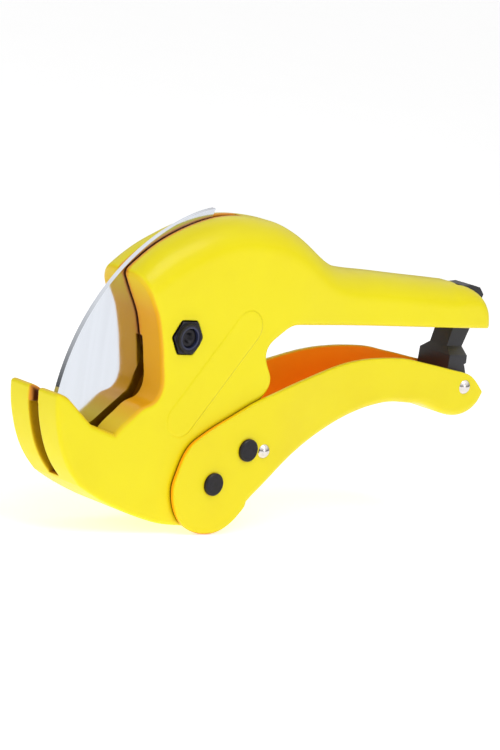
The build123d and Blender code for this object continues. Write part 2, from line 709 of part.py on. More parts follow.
# ------------------------------------------------------------------ write the pieces
save(make_body(), "body")
save(make_blade(), "blade")
save(tube(PIVOT, BUSH_R, BOLT_R + FIT, -SLOT_HALF + END_GAP, 7.5), "blade_bush")
save(make_thrust_washers(), "thrust_washers")
save(make_pivot_bolt(), "pivot_bolt")
save(make_lock_nut(), "lock_nut")
save(tube(PIVOT, 5.1, BOLT_R + 0.03, -NUT_FACE - 0.95, -NUT_FACE + 1.15), "nut_insert")
save(make_blade_return_spring(), "blade_return_spring")
save(make_lower_handle(), "lower_handle")
save(headed_pin(HANDLE_PIVOT), "handle_pivot_pin")
save(headed_pin(PAWL_PIVOT), "pawl_pin")
save([retaining_clip(HANDLE_PIVOT, 200), retaining_clip(PAWL_PIVOT, 20)], "retaining_clips")
save(rivet(ANCHOR, ANCHOR_R, 3.0, EAR_OUT), "spring_anchor_rivet")
latch_rivet_half = handle_half_width(LATCH_PIVOT[0]) + 0.05
save(rivet(LATCH_PIVOT, LATCH_RIVET_R, 3.1, latch_rivet_half), "latch_rivet")
# one bush in each cheek
save(tube_pair(HANDLE_PIVOT, HANDLE_BUSH_R, PIN_R + FIT, 1.0, HALF_T - END_GAP),
     "handle_bushes")
save(make_drive_pawl(), "drive_pawl")
save(tube_pair(PAWL_PIVOT, 4.9, PIN_R + FIT, PAWL_HALF + 0.1, EAR_OUT - SHEET - END_GAP),
     "pawl_spacers")
save(make_drive_pawl_spring(), "drive_pawl_spring")
save(make_handle_spring(), "handle_spring")
save(make_hold_pawl(), "hold_pawl")
save(cyl(HOLD_PIVOT, HOLD_PIN_R, -10.8, HALF_T - 0.2), "hold_pawl_pin")
save(make_hold_pawl_spring(), "hold_pawl_spring")
save(make_latch(), "latch")
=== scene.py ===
"""Hand cutter with a hooked mouth, a cast body and a pressed lower handle.

The tool stands upright: X runs from the hook (-X) to the end of the grip (+X), Z is up and
Y is its thickness, with the camera on the -Y side. The origin is the centre of the hub.
Shapes are worked out in millimetres as distance functions (negative inside) and meshed.
"""
import json
import math

import bpy
import numpy as np
from mathutils import Matrix, Vector


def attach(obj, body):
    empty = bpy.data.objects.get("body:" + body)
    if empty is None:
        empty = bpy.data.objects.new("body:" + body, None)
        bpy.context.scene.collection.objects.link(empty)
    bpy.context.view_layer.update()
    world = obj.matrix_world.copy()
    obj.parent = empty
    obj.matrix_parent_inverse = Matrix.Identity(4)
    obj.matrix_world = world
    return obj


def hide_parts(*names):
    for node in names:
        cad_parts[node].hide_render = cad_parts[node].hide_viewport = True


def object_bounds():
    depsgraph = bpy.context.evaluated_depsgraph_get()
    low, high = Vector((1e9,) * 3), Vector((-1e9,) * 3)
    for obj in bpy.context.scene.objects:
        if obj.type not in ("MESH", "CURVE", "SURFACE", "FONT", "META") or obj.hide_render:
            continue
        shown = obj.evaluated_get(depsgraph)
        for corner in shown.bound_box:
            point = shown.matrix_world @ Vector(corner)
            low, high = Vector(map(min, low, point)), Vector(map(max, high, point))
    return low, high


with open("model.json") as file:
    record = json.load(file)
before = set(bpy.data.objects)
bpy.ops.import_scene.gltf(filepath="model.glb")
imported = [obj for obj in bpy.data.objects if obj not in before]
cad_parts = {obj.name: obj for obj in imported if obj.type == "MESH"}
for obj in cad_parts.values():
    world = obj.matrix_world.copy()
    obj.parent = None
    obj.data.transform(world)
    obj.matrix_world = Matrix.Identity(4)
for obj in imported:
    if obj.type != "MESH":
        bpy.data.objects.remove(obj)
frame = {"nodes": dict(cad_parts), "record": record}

cad_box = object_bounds()
MM = 0.001

# ---------------------------------------------------------------- outlines: (x, z) in mm
# body
CROWN = [
    (-60.0, -16.0), (-50.5, -2.5), (-39.0, 11.0), (-25.9, 23.6), (-13.4, 33.9),
    (-3.4, 39.6), (6.6, 43.8), (15.6, 46.4), (24.0, 47.6), (32.0, 47.7), (40.0, 47.1),
    (47.0, 46.0), (53.0, 44.1), (60.0, 41.0), (67.5, 36.8), (75.0, 32.4),
    (82.0, 29.4), (90.0, 28.0), (103.0, 27.3), (123.0, 26.1), (143.0, 25.0),
    (152.0, 24.4)]
GRIP_END = [
    (152.0, 24.4), (158.0, 23.2), (163.8, 21.0), (168.7, 17.2), (171.9, 12.0), (172.9, 7.4)]
HEAD_REAR = [
    (60.5, 5.9), (57.0, 5.6), (53.5, 4.2), (49.5, 1.4), (45.6, -1.8), (43.9, -5.2),
    (44.4, -8.8), (46.6, -12.9), (48.2, -16.6), (47.9, -19.8), (45.6, -23.6)]
BEHIND_HANDLE = [
    (45.6, -23.6), (41.0, -29.0), (35.5, -34.6), (31.2, -39.6), (30.6, -44.4), (33.2, -51.2)]
BOSS = [
    (33.2, -51.2), (36.0, -58.6), (35.4, -65.4), (31.6, -72.2), (24.0, -76.8), (11.0, -77.2)]
BOTTOM = [
    (11.0, -77.2), (1.0, -76.3), (-9.0, -74.0), (-19.0, -71.0), (-29.0, -67.2),
    (-37.0, -63.6), (-43.0, -60.4)]
HOOK = [
    (-43.0, -60.4), (-49.0, -54.4), (-53.8, -47.5), (-57.6, -39.0), (-59.9, -31.0),
    (-60.8, -24.6)]
MOUTH_SEAT = [(-56.4, -24.3), (-54.6, -25.2), (-41.5, -35.6), (-30.2, -39.2)]
MOUTH_WALL = [
    (-29.0, -39.5), (-27.6, -37.7), (-21.6, -32.2), (-16.6, -28.2), (-12.2, -26.4),
    (-9.8, -23.4), (-9.1, -19.8), (-10.4, -12.6), (-12.1, -5.2), (-13.8, 0.4), (-16.2, 7.0),
    (-20.4, 14.2), (-25.9, 23.6)]
MOUTH_OPENING = [(-31.0, 34.0), (-90.0, 34.0), (-90.0, -21.8), (-64.0, -21.8)]
SLOT_LOWER_EDGE = [
    (-80, 20), (-80, -62), (-48.0, -59.0), (-40.0, -56.5), (-30.0, -53.0), (-20.0, -49.0),
    (-8.0, -42.0)]
POCKET = [
    (-80, -30), (-50, -30), (-30, -10), (-14, -2.0), (70, -2.0), (70, -46.6), (36.5, -46.6),
    (26.5, -47.2), (20.5, -50.6), (15.5, -53.2), (8.5, -53.0), (4.0, -49.5), (-4.0, -47.0),
    (-18.0, -50.5), (-30.0, -54.5), (-44.0, -58.6), (-80, -66)]
LATCH_CUT = [
    (154.1, -5.0), (154.1, 5.9), (157.6, 19.8), (153.6, 23.8), (153.6, 40), (190, 40),
    (190, -5)]
GRIP_HOLLOW = [
    (66.0, -10.0), (66.0, 20.0), (72.0, 24.0), (84.0, 22.6), (138.0, 20.8), (144.0, 18.0),
    (144.0, -10.0)]
# lower handle
EAR_TOP = [
    (3.9, -55.6), (6.9, -46.8), (9.0, -43.7), (14.0, -39.8), (19.0, -36.7), (29.0, -31.5),
    (39.0, -26.3), (49.0, -22.2), (59.1, -18.5), (70.2, -15.0), (80.8, -11.8), (91.2, -9.3),
    (101.5, -7.9), (111.8, -7.35), (121.9, -7.4), (127.1, -7.85), (132.2, -8.7),
    (142.4, -10.3), (152.4, -12.0), (158.4, -12.9)]
TAIL = [(158.4, -12.9), (162.9, -14.0), (166.8, -16.3), (170.3, -19.4), (173.4, -22.4)]
TAIL_LOW = [
    (173.4, -22.6), (171.8, -25.8), (169.0, -28.8), (164.6, -31.2), (158.8, -32.2),
    (152.5, -31.5), (147.4, -30.1), (142.4, -28.4), (137.3, -27.2), (132.2, -26.9),
    (121.9, -26.4), (116.9, -26.7), (111.8, -27.5), (101.7, -30.0), (91.6, -33.7),
    (81.2, -38.6), (70.6, -44.7), (60.1, -52.5), (51.6, -60.2), (46.0, -65.3)]
EAR_LOW = [
    (43.8, -66.7), (41.2, -70.2), (37.2, -74.6), (32.2, -78.1), (26.4, -80.0), (20.9, -80.1),
    (14.2, -78.3), (9.4, -75.2), (5.8, -70.6), (3.3, -63.8), (3.0, -59.6), (3.9, -55.6)]


# ---------------------------------------------------------------- curves and 2D fields
def smooth_curve(points, step=0.8):
    """Natural cubic spline through the points, sampled about every step mm."""
    knots = np.array(points, float)
    at = np.concatenate([[0], np.cumsum(np.linalg.norm(np.diff(knots, axis=0), axis=1))])
    n = len(knots)
    span = np.diff(at)
    system = np.zeros((n, n))
    right = np.zeros((n, 2))
    system[0, 0] = system[-1, -1] = 1
    for i in range(1, n - 1):
        system[i, i - 1:i + 2] = span[i - 1], 2 * (span[i - 1] + span[i]), span[i]
        right[i] = 6 * ((knots[i + 1] - knots[i]) / span[i]
                        - (knots[i] - knots[i - 1]) / span[i - 1])
    bend = np.linalg.solve(system, right)
    s = np.linspace(0, at[-1], max(2, int(at[-1] / step) + 1))
    k = np.clip(np.searchsorted(at, s, side="right") - 1, 0, n - 2)
    ahead, behind, width = (at[k + 1] - s)[:, None], (s - at[k])[:, None], span[k][:, None]
    out = ((bend[k] * ahead**3 + bend[k + 1] * behind**3) / (6 * width)
           + (knots[k] / width - bend[k] * width / 6) * ahead
           + (knots[k + 1] / width - bend[k + 1] * width / 6) * behind)
    return [tuple(p) for p in out]


def arc(radius, start, end, steps):
    """Points on a circle about the hub, between two angles in degrees."""
    angles = [math.radians(start + (end - start) * i / steps) for i in range(steps + 1)]
    return [(radius * math.cos(angle), radius * math.sin(angle)) for angle in angles]


def polygon_distance(polygon, xs, zs, chunk=6000):
    """Signed distance to a closed polygon, negative inside, for flat arrays of points."""
    start = np.array(polygon, float)
    start = start[np.linalg.norm(start - np.roll(start, 1, 0), axis=1) > 1e-7]
    end = np.roll(start, -1, 0)
    out = np.empty(len(xs))
    edge = end - start
    edge_sq = (edge**2).sum(1)
    for s in range(0, len(xs), chunk):
        x, z = xs[s:s + chunk, None], zs[s:s + chunk, None]
        dx, dz = x - start[None, :, 0], z - start[None, :, 1]
        t = np.clip((dx * edge[:, 0] + dz * edge[:, 1]) / edge_sq, 0, 1)
        dist_sq = ((dx - t * edge[:, 0]) ** 2 + (dz - t * edge[:, 1]) ** 2).min(1)
        start_below = start[None, :, 1] <= z
        end_below = end[None, :, 1] <= z
        side = edge[:, 0] * dz - edge[:, 1] * dx
        winding = ((start_below & ~end_below & (side > 0)).sum(1)
                   - (~start_below & end_below & (side < 0)).sum(1))
        out[s:s + chunk] = np.sqrt(dist_sq) * np.where(winding != 0, -1, 1)
    return out


def cubic_weights(f):
    """Catmull-Rom weights of four neighbours at fraction f between the middle two."""
    return (-0.5 * f + f * f - 0.5 * f**3, 1 - 2.5 * f * f + 1.5 * f**3,
            0.5 * f + 2 * f * f - 1.5 * f**3, -0.5 * f * f + 0.5 * f**3)


class Field:
    """Signed distance to a polygon, tabulated and read back with a smooth cubic."""

    def __init__(self, polygon, lo, hi, step=0.5):
        self.lo, self.step = (lo[0] - 2 * step, lo[1] - 2 * step), step
        xs, zs = (self.lo[k] + step * np.arange(int((hi[k] - lo[k]) / step) + 6)
                  for k in (0, 1))
        X, Z = np.meshgrid(xs, zs, indexing="ij")
        self.table = polygon_distance(polygon, X.ravel(), Z.ravel()).reshape(X.shape)

    def __call__(self, x, z):
        x, z = np.broadcast_arrays(x, z)
        u = np.clip((x - self.lo[0]) / self.step, 1, self.table.shape[0] - 2.001)
        w = np.clip((z - self.lo[1]) / self.step, 1, self.table.shape[1] - 2.001)
        i, k = u.astype(int), w.astype(int)
        along_x, along_z = cubic_weights(u - i), cubic_weights(w - k)
        out = 0
        for p in range(4):
            row = 0
            for q in range(4):
                row = row + along_z[q] * self.table[i + p - 1, k + q - 1]
            out = out + along_x[p] * row
        return out


def intersect(a, b, edge):
    """Intersection whose convex edge is rounded to radius edge."""
    return (np.minimum(-edge, np.maximum(a, b))
            + np.sqrt(np.maximum(edge + a, 0) ** 2 + np.maximum(edge + b, 0) ** 2))


def cut(solid, cutter, edge=None):
    """The solid less the cutter, sharp or with its edge rounded."""
    if edge is None:
        return np.maximum(solid, -cutter)
    return intersect(solid, -cutter, edge)


def fade(value, width):
    """0 below zero, rising to 1 at width."""
    return np.clip(value / width, 0, 1)


def smoothed(stations, width, step=0.5):
    """A function of x through (x, value) stations, with its corners smoothed."""
    xs, values = zip(*stations)
    grid = np.arange(xs[0], xs[-1] + step, step)
    k = int(width / step)
    window = np.hanning(2 * k + 1)
    padded = np.pad(np.interp(grid, xs, values), k, mode="edge")
    table = np.convolve(padded, window / window.sum(), mode="valid")
    return lambda x: np.interp(x, grid, table)


# ---------------------------------------------------------------- surface nets
def surface_mesh(f, lo, hi, step):
    """Points and quads close to the surface f = 0 inside the box."""
    xs, ys, zs = (np.arange(lo[k], hi[k] + step, step) for k in range(3))
    values = np.empty((len(xs), len(ys), len(zs)), np.float32)
    for s in range(0, len(xs), 24):
        values[s:s + 24] = f(xs[s:s + 24, None, None], ys[None, :, None], zs[None, None, :])
    inside = values < 0
    count = np.zeros(tuple(n - 1 for n in values.shape), np.int8)
    corners = [(a, b, c) for a in (0, 1) for b in (0, 1) for c in (0, 1)]
    for a, b, c in corners:
        count += inside[a:a + count.shape[0], b:b + count.shape[1], c:c + count.shape[2]]
    mixed = (count > 0) & (count < 8)
    I, J, K = np.nonzero(mixed)
    index = np.full(mixed.shape, -1, np.int32)
    index[mixed] = np.arange(len(I), dtype=np.int32)

    # one point per mixed cell: the mean of the crossings on its edges
    at = {c: values[I + c[0], J + c[1], K + c[2]].astype(float) for c in corners}
    total = np.zeros((len(I), 3))
    hits = np.zeros(len(I))
    for p in corners:
        for axis in range(3):
            if p[axis] == 0:
                q = tuple(1 if k == axis else p[k] for k in range(3))
                a, b = at[p], at[q]
                hit = (a < 0) != (b < 0)
                t = np.where(hit, a / np.where(a == b, 1, a - b), 0)
                place = np.array(p, float)[None, :].repeat(len(I), 0)
                place[:, axis] += t
                total += place * hit[:, None]
                hits += hit
    points = np.stack([I, J, K], 1) + total / hits[:, None]
    points = points * step + np.array([xs[0], ys[0], zs[0]])

    # one quad round every grid edge that crosses the surface
    faces = []
    unit = np.eye(3, dtype=int)[:, :, None]
    for axis in range(3):
        u, v = (axis + 1) % 3, (axis + 2) % 3
        lower, upper = [slice(1, -1)] * 3, [slice(1, -1)] * 3
        lower[axis], upper[axis] = slice(None, -1), slice(1, None)
        cell = np.array(np.nonzero(inside[tuple(lower)] != inside[tuple(upper)]))
        cell += unit[u] + unit[v]
        ring = (cell - unit[u] - unit[v], cell - unit[v], cell, cell - unit[u])
        quads = np.stack([index[tuple(c)] for c in ring], 1)
        flip = ~inside[tuple(cell)]
        quads[flip] = quads[flip][:, ::-1]
        faces.append(quads)
    return points, np.concatenate(faces)


def gradient(f, points, reach):
    out = np.empty_like(points)
    for axis in range(3):
        d = np.zeros(3)
        d[axis] = reach
        out[:, axis] = (f(*(points + d).T) - f(*(points - d).T)) / (2 * reach)
    return out


def settle(f, points, rounds, cap):
    """Moves points onto the surface f = 0, at most cap mm per round."""
    for _ in range(rounds):
        value = f(*points.T)
        slope = gradient(f, points, 0.03)
        move = slope * (value / np.maximum((slope**2).sum(1), 0.25))[:, None]
        length = np.linalg.norm(move, axis=1)
        move *= np.minimum(1, cap / np.maximum(length, 1e-9))[:, None]
        points = points - move
    return points


def vertex_places(mesh):
    co = np.empty(len(mesh.vertices) * 3)
    mesh.vertices.foreach_get("co", co)
    return co.reshape(-1, 3) / MM


def set_point_values(ob, value, name):
    """Stores value(x, y, z), held to 0..1, as a point attribute."""
    data = np.clip(value(*vertex_places(ob.data).T), 0, 1).astype(np.float32)
    ob.data.attributes.new(name, "FLOAT", "POINT").data.foreach_set("value", data)


def sdf_piece(name, f, lo, hi, step, max_tris=190_000):
    """A smooth-shaded mesh object of the solid where f < 0."""
    points, quads = surface_mesh(f, lo, hi, step)
    points = settle(f, points, rounds=3, cap=0.6 * step)
    mesh = bpy.data.meshes.new(name)
    mesh.from_pydata((points * MM).tolist(), [], quads.tolist())
    ob = bpy.data.objects.new(name, mesh)
    bpy.context.scene.collection.objects.link(ob)
    tris = 2 * len(quads)
    if tris > max_tris:
        ob.modifiers.new("thin", "DECIMATE").ratio = max_tris / tris
        depsgraph = bpy.context.evaluated_depsgraph_get()
        thinned = bpy.data.meshes.new_from_object(ob.evaluated_get(depsgraph))
        ob.modifiers.clear()
        ob.data = thinned
        bpy.data.meshes.remove(mesh)
        mesh = thinned
        mesh.name = name
        points = settle(f, vertex_places(mesh), rounds=1, cap=0.3 * step)
        mesh.vertices.foreach_set("co", (points * MM).ravel())
    normals = gradient(f, points, 0.06)
    normals /= np.maximum(np.linalg.norm(normals, axis=1), 1e-9)[:, None]
    mesh.polygons.foreach_set("use_smooth", np.ones(len(mesh.polygons), bool))
    mesh.update()
    mesh.normals_split_custom_set_from_vertices(normals.tolist())
    return ob


# ---------------------------------------------------------------- body
BODY_STEP = 0.6
FIELD_LO, FIELD_HI = (-66, -86), (178, 56)
# (x, half thickness) and (x, radius of the edge along the crown)
BODY_HALF = smoothed([(-80, 16.0), (46, 16.0), (60, 15.8), (72, 14.85), (84, 13.85),
                      (100, 13.2), (150, 13.2), (166, 12.7), (190, 12.0)], width=8)
CROWN_EDGE = smoothed([(-80, 9.0), (-22, 10.5), (-5, 13.2), (40, 13.2), (80, 12.4),
                       (110, 11.8), (150, 11.2), (166, 5.0), (190, 3.0)], width=6)
# half widths in Y
SLOT_HALF, POCKET_HALF, LATCH_HALF, HOLLOW_HALF = 1.6, 3.1, 5.8, 8.0
HUB_HOLE_R = 4.05
HUB_RING_R = 11.0  # metal left standing in the pocket
HUB_STEPS = [(12.8, 1.4, 4.2), (8.9, 3.0, 7.9)]  # radius, y from, y to
HEX_HALF, HEX_FLOOR_Y, SIN_60 = 6.75, -9.6, 0.8660254
BOSS_X, BOSS_Z, BOSS_HOLE_R = 23.0, -59.3, 5.05
RECESS_R, SECTOR_R, RECESS_FLOOR_Y = 9.8, 22.0, 7.4
SECTOR_FROM, SECTOR_TO = -4, 84  # degrees
# slanted oval pad on the -Y side: ends of its centre line, radius, height
PAD_A, PAD_B, PAD_R, PAD_RISE = (3.0, -33.5), (31.5, 4.5), 7.0, 0.22

crown_curve = ([p for p in smooth_curve(CROWN) if p[0] > -36] + smooth_curve(GRIP_END)[1:])
rest_curve = [(-60.0, 300), CROWN[0]]
for part in (HOOK, BOTTOM, BOSS, BEHIND_HANDLE, HEAD_REAR):
    rest_curve += smooth_curve(part)[::-1]
crown_field = Field([(-200, 13.0), (-37.0, 13.0)] + crown_curve + [(172.9, -300), (-200, -300)],
                    FIELD_LO, FIELD_HI)
rest_field = Field(rest_curve + [(300, 5.9), (300, 300)], FIELD_LO, FIELD_HI)
mouth_field = Field(MOUTH_SEAT + smooth_curve(MOUTH_WALL, 0.6) + MOUTH_OPENING,
                    FIELD_LO, (60, 56))
slot_field = Field(arc(56.0, -24, 150, 60) + SLOT_LOWER_EDGE + arc(36.5, -100, -24, 12),
                   FIELD_LO, (66, 56))
pocket_field = Field(POCKET, FIELD_LO, (66, 20))
latch_field = Field(LATCH_CUT, (140, -2), (178, 36))
hollow_field = Field(GRIP_HOLLOW, (60, -2), (150, 36))


def pad_height(x, z):
    ax, az = PAD_A
    dx, dz = PAD_B[0] - ax, PAD_B[1] - az
    t = np.clip(((x - ax) * dx + (z - az) * dz) / (dx * dx + dz * dz), 0, 1)
    d = np.hypot(x - ax - t * dx, z - az - t * dz) - PAD_R
    return PAD_RISE / (1 + np.exp(np.clip(d / 0.16, -30, 30)))


def hexagon(x, z):
    slanted = np.maximum(np.abs(z * 0.5 + x * SIN_60), np.abs(z * 0.5 - x * SIN_60))
    return np.maximum(np.abs(z), slanted) - HEX_HALF


def boss_recess(x, y, z, boss_r):
    """Round recess with a wider sector, open to the +Y side."""
    angle = np.degrees(np.arctan2(z - BOSS_Z, x - BOSS_X))
    in_sector = (angle > SECTOR_FROM) & (angle < SECTOR_TO)
    sector = np.where(in_sector, boss_r - SECTOR_R, 9.0)  # 9.0: any distance outside
    return np.maximum(np.minimum(boss_r - RECESS_R, sector), RECESS_FLOOR_Y - y)


def body_f(x, y, z):
    depth = np.abs(y)
    side = depth - (BODY_HALF(x) + np.where(y < 0, pad_height(x, z), 0))
    out = intersect(intersect(crown_field(x, z), side, CROWN_EDGE(x)),
                    intersect(rest_field(x, z), side, 2.0), 0.8)
    out = cut(out, mouth_field(x, z), edge=2.2)
    # the slot's edges are rounder at the tip of the hook
    tip = fade(z + 36.0, 8.0) * fade(-48.0 - x, 4.0)
    out = cut(out, np.maximum(slot_field(x, z), depth - SLOT_HALF), edge=0.6 + 1.8 * tip)
    hub_r = np.hypot(x, z)
    pocket = np.maximum(pocket_field(x, z), depth - POCKET_HALF)
    out = cut(out, np.maximum(pocket, HUB_RING_R - hub_r), edge=0.5)
    for radius, y_from, y_to in HUB_STEPS:
        out = cut(out, np.maximum(hub_r - radius, np.maximum(y_from - y, y - y_to)))
    out = cut(out, hub_r - HUB_HOLE_R)
    out = cut(out, np.maximum(hexagon(x, z), y - HEX_FLOOR_Y), edge=0.35)
    boss_r = np.hypot(x - BOSS_X, z - BOSS_Z)
    out = cut(out, boss_r - BOSS_HOLE_R)
    out = cut(out, boss_recess(x, y, z, boss_r))
    out = cut(out, np.maximum(latch_field(x, z), depth - LATCH_HALF), edge=0.6)
    return cut(out, np.maximum(hollow_field(x, z), depth - HOLLOW_HALF), edge=0.8)


def slot_walls(x, y, z):
    """1 in the blade slot and the pocket and on their walls."""
    outline = np.minimum(slot_field(x, z), pocket_field(x, z))
    return fade(3.35 - np.abs(y), 0.5) * fade(0.9 - outline, 1.0)


def body_cavity_shade(x, y, z):
    """Painted shade on the walls of the blade slot, the pocket, the hollow of the grip and the
    mouth.
    """
    grip = fade(8.3 - np.abs(y), 0.5) * fade(0.6 - hollow_field(x, z), 1.0) * fade(z - 6.6, 2.0)
    # the mouth walls take more painted shade further in, towards +X
    mouth = (0.28 + 0.47 * fade(x + 25.0, 8.0)) * fade(1.3 - np.abs(mouth_field(x, z)), 0.7)
    return np.maximum(np.maximum(slot_walls(x, y, z), grip), mouth)


def body_slot_shade(x, y, z):
    """Painted shade: how far down in the blade slot, away from daylight."""
    outline = np.maximum(crown_field(x, z), rest_field(x, z))
    depth = -np.maximum(outline, -mouth_field(x, z))
    return slot_walls(x, y, z) * fade(depth - 0.3, 1.4)


body = sdf_piece("body_casting", body_f, (-63, -17.6, -79.5), (175.0, 17.6, 49.5), BODY_STEP)
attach(body, "frame")
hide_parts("body")
# point attributes that say where the coat takes painted shade: orange on the walls of hollows,
# darker further down the blade slot
set_point_values(body, body_cavity_shade, "cavity_shade")
set_point_values(body, body_slot_shade, "slot_shade")

# ---------------------------------------------------------------- lower handle
HANDLE_STEP = 0.55
WALL = 2.2
CHANNEL_X = 42.4  # towards -X from here there is no web between the two ears
# (x, half width)
HANDLE_HALF = smoothed([(-20, 18.3), (50, 18.3), (58, 17.9), (68, 16.9), (78, 15.9), (90, 14.9),
                        (105, 14.2), (125, 13.8), (150, 13.6), (190, 13.35)], width=6)

lower_edge = smooth_curve(TAIL_LOW)
plate_field = Field(smooth_curve(EAR_TOP) + smooth_curve(TAIL)[1:] + lower_edge
                    + smooth_curve(EAR_LOW)[:-1], (-2, -86), (180, -2))
web_field = Field(lower_edge + [(44.0, -67.4), (40, -300), (-200, -300), (-200, 300),
                                (300, 300), (300, 70)], (-2, -86), (180, -2))


def handle_f(x, y, z):
    side = np.abs(y) - HANDLE_HALF(x)
    web = web_field(x, z)
    outer = np.maximum(intersect(plate_field(x, z), side, 0.45), intersect(web, side, 3.2))
    void = intersect(np.minimum(web + WALL, x - CHANNEL_X), side + WALL, 0.9)
    return cut(outer, void, edge=0.45)


def handle_cavity_shade(x, y, z):
    """Painted shade inside the pressed channel, away from its lip, and on the rims of the ears.
    """
    across = np.abs(y)
    plate = plate_field(x, z)
    channel = (fade(HANDLE_HALF(x) - 1.7 - across, 0.3) * fade(-web_field(x, z) - 1.6, 0.3)
               * fade(-plate - 0.05, 0.5))
    # painted orange shade along the rims of the ears
    rim_shade = (0.85 * fade(18.05 - across, 0.4) * fade(0.9 - np.abs(plate), 0.5)
           * fade(40.0 - x, 20.0))
    return np.maximum(channel, rim_shade)


handle = sdf_piece("lower_handle_pressing", handle_f, (1.0, -19.5, -82), (175.5, 19.5, -4.5),
                   HANDLE_STEP)
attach(handle, "handle")
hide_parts("lower_handle")
# where the sheet coat takes painted orange shade
set_point_values(handle, handle_cavity_shade, "cavity_shade")


# ---------------------------------------------------------------- shader helpers
def srgb(*colour):
    """Linear RGBA from 0..255 sRGB."""
    parts = [c / 255 for c in colour]
    return tuple(c / 12.92 if c <= 0.04045 else ((c + 0.055) / 1.055) ** 2.4
                 for c in parts) + (1,)


def feed(tree, node, inputs):
    """Links or sets inputs, given by name or number."""
    for key, value in inputs.items():
        if isinstance(value, bpy.types.NodeSocket):
            tree.links.new(value, node.inputs[key])
        else:
            node.inputs[key].default_value = value


def add_node(tree, kind, inputs={}, **settings):
    node = tree.nodes.new("ShaderNode" + kind)
    for key, value in settings.items():
        setattr(node, key, value)
    feed(tree, node, inputs)
    return node


def map_range(tree, value, source, target, **settings):
    """Maps the source range onto the target range."""
    inputs = dict(enumerate((value, *source, *target)))
    return add_node(tree, "MapRange", inputs, **settings).outputs[0]


def math_node(tree, operation, a, b):
    return add_node(tree, "Math", {0: a, 1: b}, operation=operation).outputs[0]


class Shader:
    """A material under construction: one principled surface in object coordinates."""

    def __init__(self, name):
        self.material = bpy.data.materials.new(name)
        self.material.use_nodes = True
        self.tree = self.material.node_tree
        self.tree.nodes.clear()
        output = add_node(self.tree, "OutputMaterial")
        self.principled = add_node(self.tree, "BsdfPrincipled")
        feed(self.tree, output, {0: self.principled.outputs[0]})
        self.place = add_node(self.tree, "TexCoord").outputs["Object"]

    def surface(self, inputs):
        feed(self.tree, self.principled, inputs)

    def noise(self, scale, detail=2.0, rough=0.5, stretch=None):
        place = self.place
        if stretch:
            place = add_node(self.tree, "Mapping", {0: place, "Scale": stretch}).outputs[0]
        return add_node(self.tree, "TexNoise", {
            "Scale": scale, "Detail": detail, "Roughness": rough,
            "Vector": place}).outputs["Fac"]

    def ramp(self, factor, stops):
        """Colour ramp through (position, colour) stops."""
        node = add_node(self.tree, "ValToRGB", {0: factor})
        elements = node.color_ramp.elements
        elements[0].position, elements[0].color = stops[0]
        elements[1].position, elements[1].color = stops[-1]
        for position, colour in stops[1:-1]:
            elements.new(position).color = colour
        return node.outputs[0]

    def spread(self, noise, low, high):
        """The middle of a noise stretched over low..high."""
        return map_range(self.tree, noise, (0.3, 0.7), (low, high))

    def mix(self, factor, a, b):
        node = add_node(self.tree, "Mix", {0: factor, 6: a, 7: b}, data_type="RGBA")
        return node.outputs[2]

    def attribute(self, name):
        return add_node(self.tree, "Attribute", attribute_name=name).outputs["Fac"]

    def bump(self, height, strength, distance, normal=None):
        inputs = {"Strength": strength, "Distance": distance, "Height": height}
        if normal:
            inputs["Normal"] = normal
        return add_node(self.tree, "Bump", inputs).outputs[0]

    def soft_edges(self, radius):
        """Normals that round a part's edges off a little, as wear does."""
        return add_node(self.tree, "Bevel", {"Radius": radius}, samples=6).outputs[0]


# ---------------------------------------------------------------- materials
def pad_mask(shader):
    """1 on the slanted oval pad of the -Y side and 0 around it."""
    tree = shader.tree

    def vector(operation, inputs):
        return add_node(tree, "VectorMath", inputs, operation=operation).outputs

    start = (PAD_A[0] * MM, 0, PAD_A[1] * MM)
    line = ((PAD_B[0] - PAD_A[0]) * MM, 0, (PAD_B[1] - PAD_A[1]) * MM)
    line_sq = line[0] ** 2 + line[2] ** 2
    flat = vector("MULTIPLY", {0: shader.place, 1: (1, 0, 1)})[0]
    offset = vector("SUBTRACT", {0: flat, 1: start})[0]
    t = vector("DOT_PRODUCT", {0: offset, 1: (line[0] / line_sq, 0, line[2] / line_sq)})["Value"]
    held = add_node(tree, "Clamp", {0: t}).outputs[0]
    nearest = vector("SCALE", {0: line, "Scale": held})[0]
    away = vector("SUBTRACT", {0: offset, 1: nearest})[0]
    distance = vector("LENGTH", {0: away})["Value"]
    oval = map_range(tree, distance, ((PAD_R - 0.35) * MM, (PAD_R + 0.35) * MM), (1.0, 0.0),
                     interpolation_type="SMOOTHSTEP")
    y = add_node(tree, "SeparateXYZ", {0: shader.place}).outputs["Y"]
    return math_node(tree, "MULTIPLY", oval, math_node(tree, "LESS_THAN", y, -15.0 * MM))


